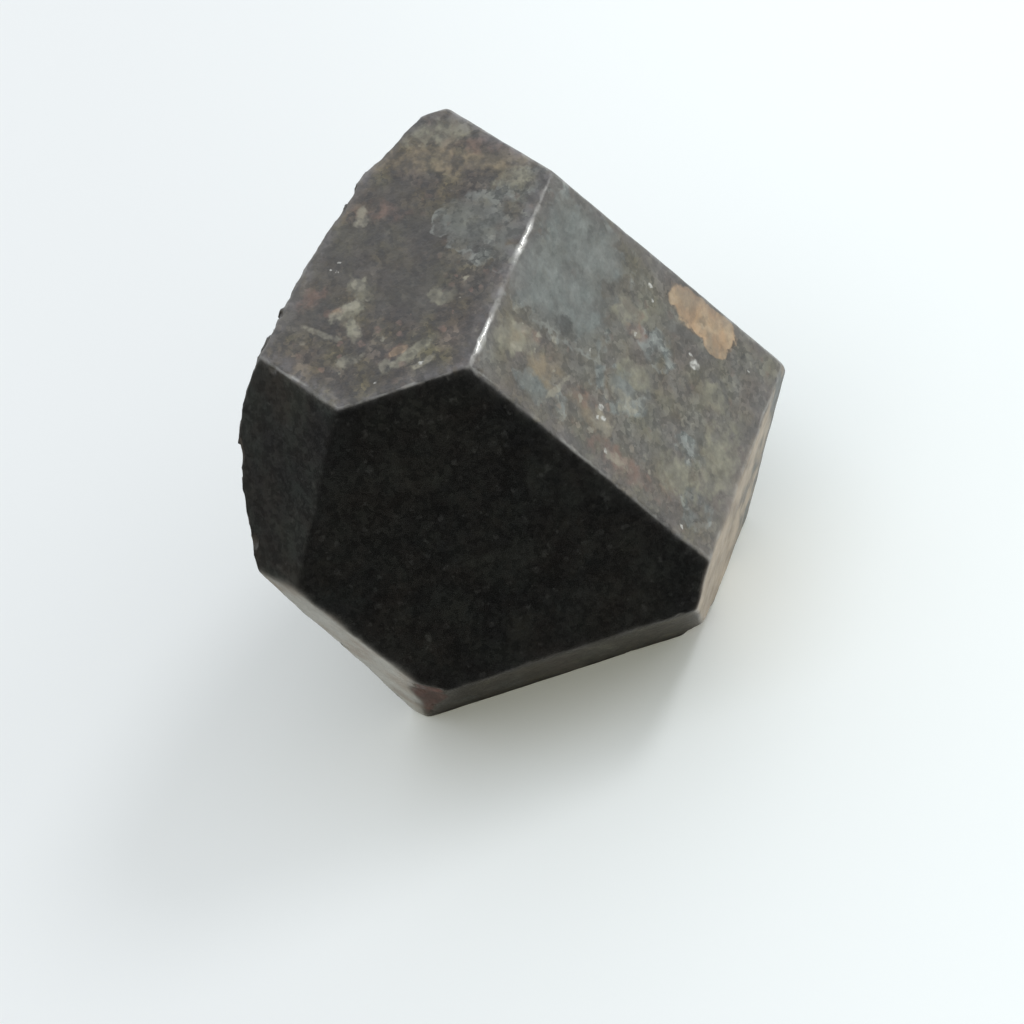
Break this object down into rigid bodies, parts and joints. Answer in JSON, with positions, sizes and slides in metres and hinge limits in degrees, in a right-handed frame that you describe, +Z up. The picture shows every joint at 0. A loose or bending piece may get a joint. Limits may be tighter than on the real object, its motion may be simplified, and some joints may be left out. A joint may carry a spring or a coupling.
{
  "type": "uraninite crystal",
  "caption": "Loose dark cuboctahedral mineral crystal with flat growth faces, worn edges and a rough broken back side, resting on a flat face.",
  "frame": {"origin": "middle of the bounding box's underside, on the surface that the crystal rests on", "axes": "+Z up, square to the level top face; +X along the crystal's front edge, towards the right; the black front face looks to -Y"},
  "size_m": [0.0128, 0.012, 0.0098],
  "materials": {
    "uraninite": "dull submetallic black with grey and brown weathering film"
  },
  "bodies": {
    "root": {"crystal": "uraninite"}
  },
  "joints": []
}
